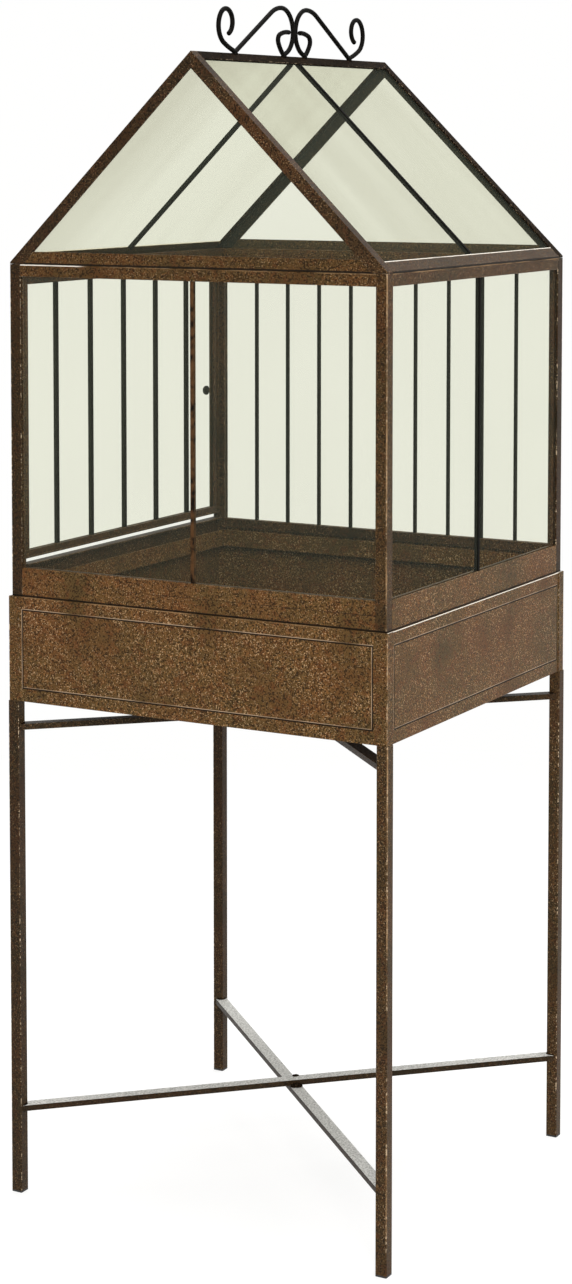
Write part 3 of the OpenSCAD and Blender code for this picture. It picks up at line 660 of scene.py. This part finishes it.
# How far the edges are eased: rolled iron, folded sheet and thin bars
ROLLED = 0.5 * MM
FOLDED = 0.3 * MM
THIN = 0.25 * MM
EASED = {
    "leg_": ROLLED, "post_": ROLLED, "bottom_rail_": ROLLED, "top_rail_": ROLLED,
    "upper_brace": ROLLED, "lower_stretcher": ROLLED, "tray_": FOLDED, "door_sill": ROLLED,
    "door_stiles": ROLLED, "door_rails": ROLLED, "rafters_": ROLLED, "gable_rails": FOLDED,
    "eave_rail_": FOLDED, "ridge_cap": ROLLED, "glazing_": THIN, "door_beads": THIN,
    "front_bars": THIN, "right_bars": THIN, "back_bars": THIN, "door_bars": THIN,
    "slope_bars": THIN, "door_catch": ROLLED, "door_knob": THIN,
    "hinge_post_leaves": THIN, "hinge_door_leaves": THIN,
}
# Nodes that a key above would name, but that stay as they are
KEPT_PLAIN = ("leg_top_plugs", "tray_screws")
# Nodes with a finish of their own within their slot: blacker iron, and glass clouded by painted
# reflection
FINISH = {"ridge_cap": "_sooty", "rafters_back": "_sooty", "slope_panes_": "_roof"}


def dress_nodes(materials):
    for name, cad in NODES.items():
        material = materials[SLOT_OF[name] + by_prefix(FINISH, name, "")]
        radius = by_prefix(EASED, name)
        if radius is None or name in KEPT_PLAIN:
            cad.data.materials.clear()
            cad.data.materials.append(material)
        else:
            eased_copy(name, material, radius)


# Welds and rivets

# The crossed bars: half their width, their thickness, the top of the lower bar of each pair,
# and where the legs' inner faces meet, from the middle
BAR_HALF = 7.5 * MM
BAR_T = 7 * MM
STRETCHER_TOP, BRACE_TOP = 98 * MM, 564 * MM
LEG_IN_X, LEG_IN_Y = 236 * MM, 228 * MM
# Where the scrolls stand on the ridge
RIDGE_Z = 1348 * MM
SCROLL_FEET = (-140 * MM, -25.4 * MM, 25.4 * MM, 140 * MM)

# Welds: their length, half width and half height
CROSSING = (15.5 * MM, 5.6 * MM, 3.4 * MM)
CROSSING_TOP = (9 * MM, 3.0 * MM, 1.9 * MM)
AT_LEG = (8.5 * MM, 1.3 * MM, 1.2 * MM)
AT_SCROLL = (11 * MM, 2.9 * MM, 1.5 * MM)
# The near-black welds at the crossing also stand for the shadow of the upper bar on the lower one:
# painted shade.
# The welds in the crossing's corners: how far off the upper bar, and above the lower one, their
# middles lie. The one on top lies this far along the upper bar, and this far in from its side.
CROSSING_OFF, CROSSING_UP = 3 * MM, 0.4 * MM
TOP_ALONG, TOP_IN = 4 * MM, 1 * MM
# The welds at a leg: how far along its inner faces their middles lie, and how far off them
LEG_ALONG, LEG_OFF = 4.8 * MM, 0.5 * MM
# How deep a scroll's weld lies in the ridge
SCROLL_SUNK = 0.4 * MM
# A weld's ripples: their spacing and height, and its lumps' size and height
RIPPLE_STEP, RIPPLE_RISE = 0.55 * MM, 0.10
LUMP_SCALE, LUMP_RISE = 1.7, 0.18

# The hinge leaves' middles and outer faces, and the lines of their rivets
HINGE_Z = (830 * MM, 1017.5 * MM)
HINGE_FACE = -247.5 * MM
POST_RIVETS_Y, DOOR_RIVETS_Y = -229.4 * MM, -217.2 * MM
# Each rivet's distance from its leaf's middle, its size, and the rings and sides of its dome
RIVET_RISE = 9 * MM
RIVET_R = 1.9 * MM
RIVET_H = 0.8 * MM
RIVET_SUNK = 0.2 * MM
RIVET_RINGS = 5
RIVET_SIDES = 20


def bead(build, middle, along, size, seed):
    """A lumpy run of weld, its ripples across the run."""
    length, radius, height = size
    along = Vector(along).normalized()
    up = Vector(Z)
    across = along.cross(up).normalized()
    for v in bmesh.ops.create_icosphere(build, subdivisions=3, radius=1)["verts"]:
        run = v.co.x * length / 2
        lump = lumps.noise(v.co * LUMP_SCALE + Vector((seed, 0, 0)))
        ripple = 1 + RIPPLE_RISE * math.sin(run / RIPPLE_STEP) + LUMP_RISE * lump
        v.co = (Vector(middle) + along * run
                + across * v.co.y * radius * ripple + up * v.co.z * height * ripple)


def bar_welds(low_top, way):
    """The welds of a pair of crossed bars: to each other, and to the legs at their ends. way is
    1 where the upper bar runs from the back right to the front left, and -1 where it doesn't."""
    def made(build):
        upper = Vector((LEG_X, way * LEG_Y, 0)).normalized()
        lower = Vector((LEG_X, -way * LEG_Y, 0)).normalized()
        # Near-black welds in the crossing's corners and on top, partly painted shadow of the upper
        # bar
        for side in (-1, 1):
            spot = lower * side * (BAR_HALF + CROSSING_OFF) + Vector(Z) * (low_top + CROSSING_UP)
            bead(build, spot, upper, CROSSING, side + 5)
        spot = upper * TOP_ALONG - lower * (BAR_HALF - TOP_IN) + Vector(Z) * (low_top + BAR_T)
        bead(build, spot, upper, CROSSING_TOP, 9)
        for sx in (-1, 1):
            for sy in (-1, 1):
                top = low_top + (BAR_T if sx * sy == way else 0)
                x, y = sx * LEG_IN_X, sy * LEG_IN_Y
                for z, seed in ((top, 1), (top - BAR_T, 2)):
                    on_x_face = (x - sx * LEG_OFF, y + sy * LEG_ALONG, z)
                    on_y_face = (x + sx * LEG_ALONG, y - sy * LEG_OFF, z)
                    bead(build, on_x_face, Y, AT_LEG, seed + sx)
                    bead(build, on_y_face, X, AT_LEG, seed + 3 * sy)
    return made


def scroll_welds(build):
    for seed, y in enumerate(SCROLL_FEET, 20):
        bead(build, (0, y, RIDGE_Z - SCROLL_SUNK), Y, AT_SCROLL, seed)


def rivet(build, y, z):
    """A domed head on a hinge leaf."""
    rings = []
    for k in range(RIVET_RINGS):
        turn = math.radians(90) * k / RIVET_RINGS
        r, out = RIVET_R * math.cos(turn), RIVET_H * math.sin(turn)
        rings.append([
            build.verts.new((HINGE_FACE - out, y + r * math.cos(a), z + r * math.sin(a)))
            for a in (math.tau * j / RIVET_SIDES for j in range(RIVET_SIDES))])
    base = [build.verts.new((HINGE_FACE + RIVET_SUNK, v.co.y, v.co.z)) for v in rings[0]]
    tip = build.verts.new((HINGE_FACE - RIVET_H, y, z))
    faces = [
        build.faces.new((a[j], a[j - 1], b[j - 1], b[j]))
        for a, b in zip([base] + rings, rings) for j in range(RIVET_SIDES)]
    faces.append(build.faces.new(base))
    faces += [build.faces.new((rings[-1][j], rings[-1][j - 1], tip)) for j in range(RIVET_SIDES)]
    for face in faces:
        face.smooth = True


def rivets(y):
    """Two rivets on each hinge leaf, in a line at y."""
    def made(build):
        for middle in HINGE_Z:
            for rise in (-RIVET_RISE, RIVET_RISE):
                rivet(build, y, middle + rise)
    return made


def add_fastenings(materials):
    brown, black = "dark_rust_paint", "black_paint"
    sooty = materials["dark_rust_paint_sooty"]
    new_piece("lower_stretcher_welds", bar_welds(STRETCHER_TOP, 1), "stand", sooty)
    new_piece("upper_brace_welds", bar_welds(BRACE_TOP, -1), "stand", sooty)
    new_piece("scroll_welds", scroll_welds, "roof", materials[black])
    new_piece("hinge_post_rivets", rivets(POST_RIVETS_Y), "case", sooty)
    new_piece("hinge_door_rivets", rivets(DOOR_RIVETS_Y), "door", sooty)


# Stage and light

# The floor's size in metres, and the ring over which it fades into the white round the object
FLOOR_R = 30
FADE_FROM, FADE_TO = 0.9, 2.2
# How much the floor glows under the object, so that only its shadows are darker than white
FLOOR_GLOW = 0.74
WHITE = (1, 1, 0.995, 1)
# The world's light: everywhere, and what it gains behind the object and from above
WORLD_ROUND, WORLD_BEHIND, WORLD_ABOVE = 0.16, 0.75, 0.35
LIGHTS_AT = (0, 0, 0.8)


def make_floor():
    """A pale floor that fades into the white round the object, so that no horizon shows."""
    mesh = bpy.data.meshes.new("floor")
    build = bmesh.new()
    bmesh.ops.create_circle(build, cap_ends=True, radius=FLOOR_R, segments=96)
    build.to_mesh(mesh)
    build.free()
    floor = new_object("floor", mesh)
    material, tree, shader, where = new_material("floor")
    away = node(tree, "ShaderNodeVectorMath", {0: where}, operation="LENGTH").outputs["Value"]
    faded = step(tree, away, FADE_FROM, FADE_TO)
    colour = ramp(tree, faded, [(0, (0.30, 0.30, 0.30)), (1, (0, 0, 0))])
    glow = node(
        tree, "ShaderNodeMapRange", {"Value": faded, "To Min": FLOOR_GLOW, "To Max": 1.0})
    tree.links.new(colour, shader.inputs["Base Color"])
    tree.links.new(glow.outputs["Result"], shader.inputs["Emission Strength"])
    shader.inputs["Emission Color"].default_value = WHITE
    shader.inputs["Roughness"].default_value = 1
    shader.inputs["Specular IOR Level"].default_value = 0
    mesh.materials.append(material)


def make_world():
    """White where it is seen, and brighter behind the object than in front where it lights."""
    world = bpy.data.worlds.new("world")
    bpy.context.scene.world = world
    world.use_nodes = True
    tree = world.node_tree
    background = tree.nodes["Background"]
    direction = node(tree, "ShaderNodeTexCoord").outputs["Generated"]
    parts = node(tree, "ShaderNodeSeparateXYZ", {0: direction}).outputs
    behind = step(tree, parts["Y"], -0.35, 0.75, WORLD_BEHIND)
    above = step(tree, parts["Z"], 0.0, 1.0, WORLD_ABOVE)
    total = plus(tree, plus(tree, behind, above), WORLD_ROUND)
    path = node(tree, "ShaderNodeLightPath").outputs
    seen = math_of(tree, "MAXIMUM", path["Is Camera Ray"], path["Is Transmission Ray"])
    strength = node(tree, "ShaderNodeMix", {0: seen, 2: total, 3: 1.0}, data_type="FLOAT")
    background.inputs["Color"].default_value = WHITE
    tree.links.new(strength.outputs[0], background.inputs["Strength"])


def area_light(name, at, size, power, colour=(1, 1, 1)):
    """A round light at a place, turned to the middle of the object."""
    data = bpy.data.lights.new(name, "AREA")
    data.shape = "DISK"
    data.size = size
    data.energy = power
    data.color = colour
    light = new_object(name, data)
    light.location = at
    to_object = Vector(LIGHTS_AT) - Vector(at)
    light.rotation_euler = to_object.to_track_quat("-Z", "Y").to_euler()


def make_lights():
    area_light("key", (2.6, -3.6, 2.6), 2.4, 165, (1, 0.98, 0.94))
    area_light("side", (4.2, -0.6, 2.2), 2.4, 12)
    area_light("top", (0, 0.5, 4.5), 3.0, 110)


make_camera()
make_world()
make_floor()
make_lights()
bpy.context.scene.view_settings.view_transform = "Standard"
MATERIALS = make_materials()
dress_nodes(MATERIALS)
add_fastenings(MATERIALS)
